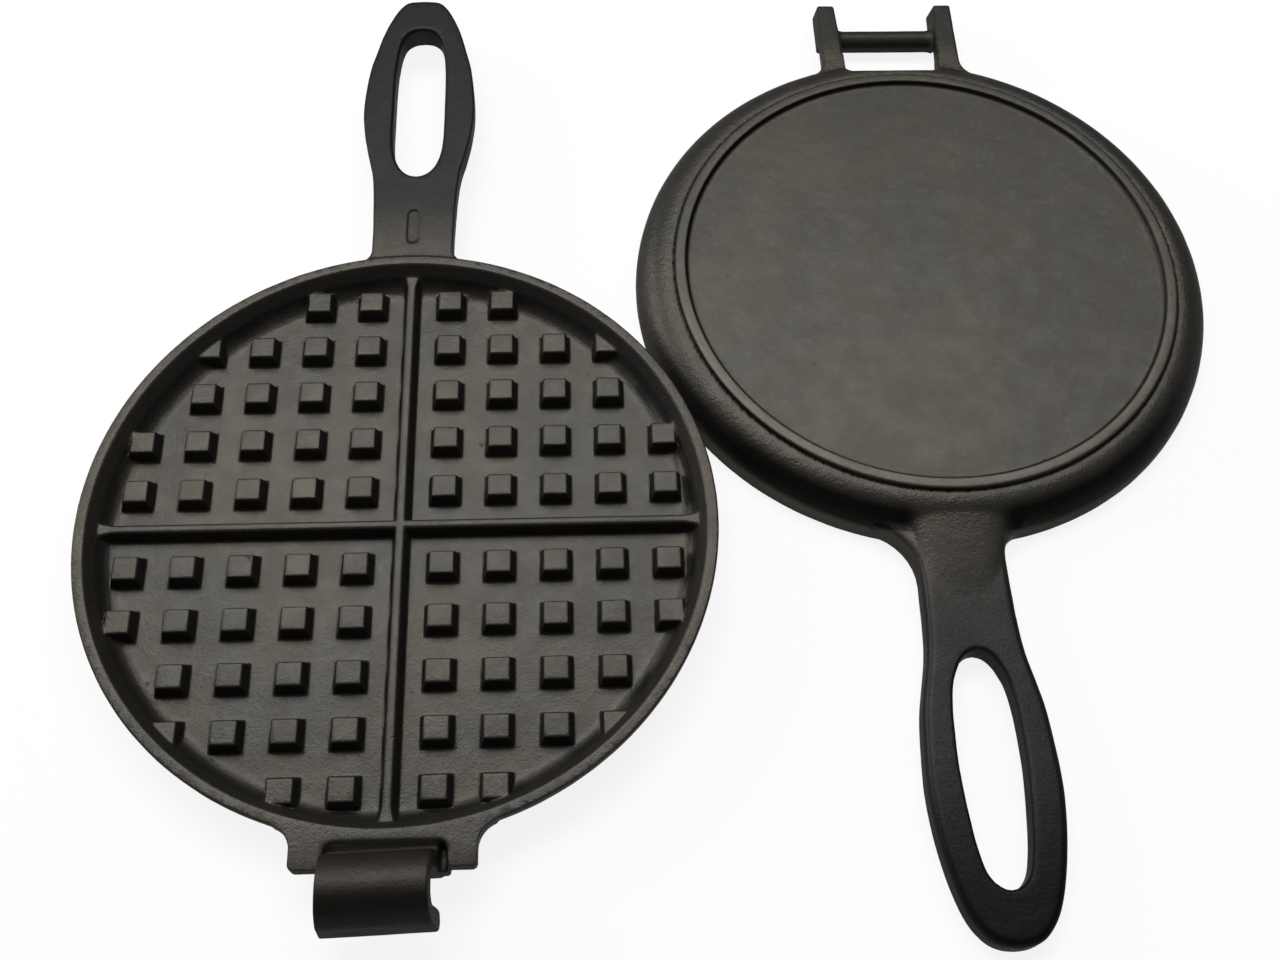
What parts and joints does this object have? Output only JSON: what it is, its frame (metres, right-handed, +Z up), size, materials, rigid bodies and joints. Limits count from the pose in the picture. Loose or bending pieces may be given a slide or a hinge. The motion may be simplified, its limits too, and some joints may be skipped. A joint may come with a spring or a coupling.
{
  "type": "waffle iron",
  "caption": "Stovetop waffle iron in two seasoned castings with looped handles: one has an open hinge hook, the other a hinge bar between ears. They lie unhooked, side by side.",
  "frame": {"origin": "middle of the space that both halves take, on the surface that they lie on", "axes": "+X from the hook half towards the yoke half, +Y from the yoke half's handle towards its hinge bar, +Z up"},
  "size_m": [0.3772, 0.357, 0.031],
  "materials": {
    "hook_half": "sand cast, seasoned, satin",
    "yoke_half": "sand cast, seasoned, satin"
  },
  "bodies": {
    "hook_half": {"hook_half": "hook_half"},
    "yoke_half": {"yoke_half": "yoke_half"}
  },
  "joints": [
    {"name": "hinge_swing", "type": "hinge", "parent": "hook_half", "child": "yoke_half", "pos_m": [0.08864, 0.162, 0.0045], "axis": [-1, 0, 0], "range_deg": [0, 100]}
  ]
}
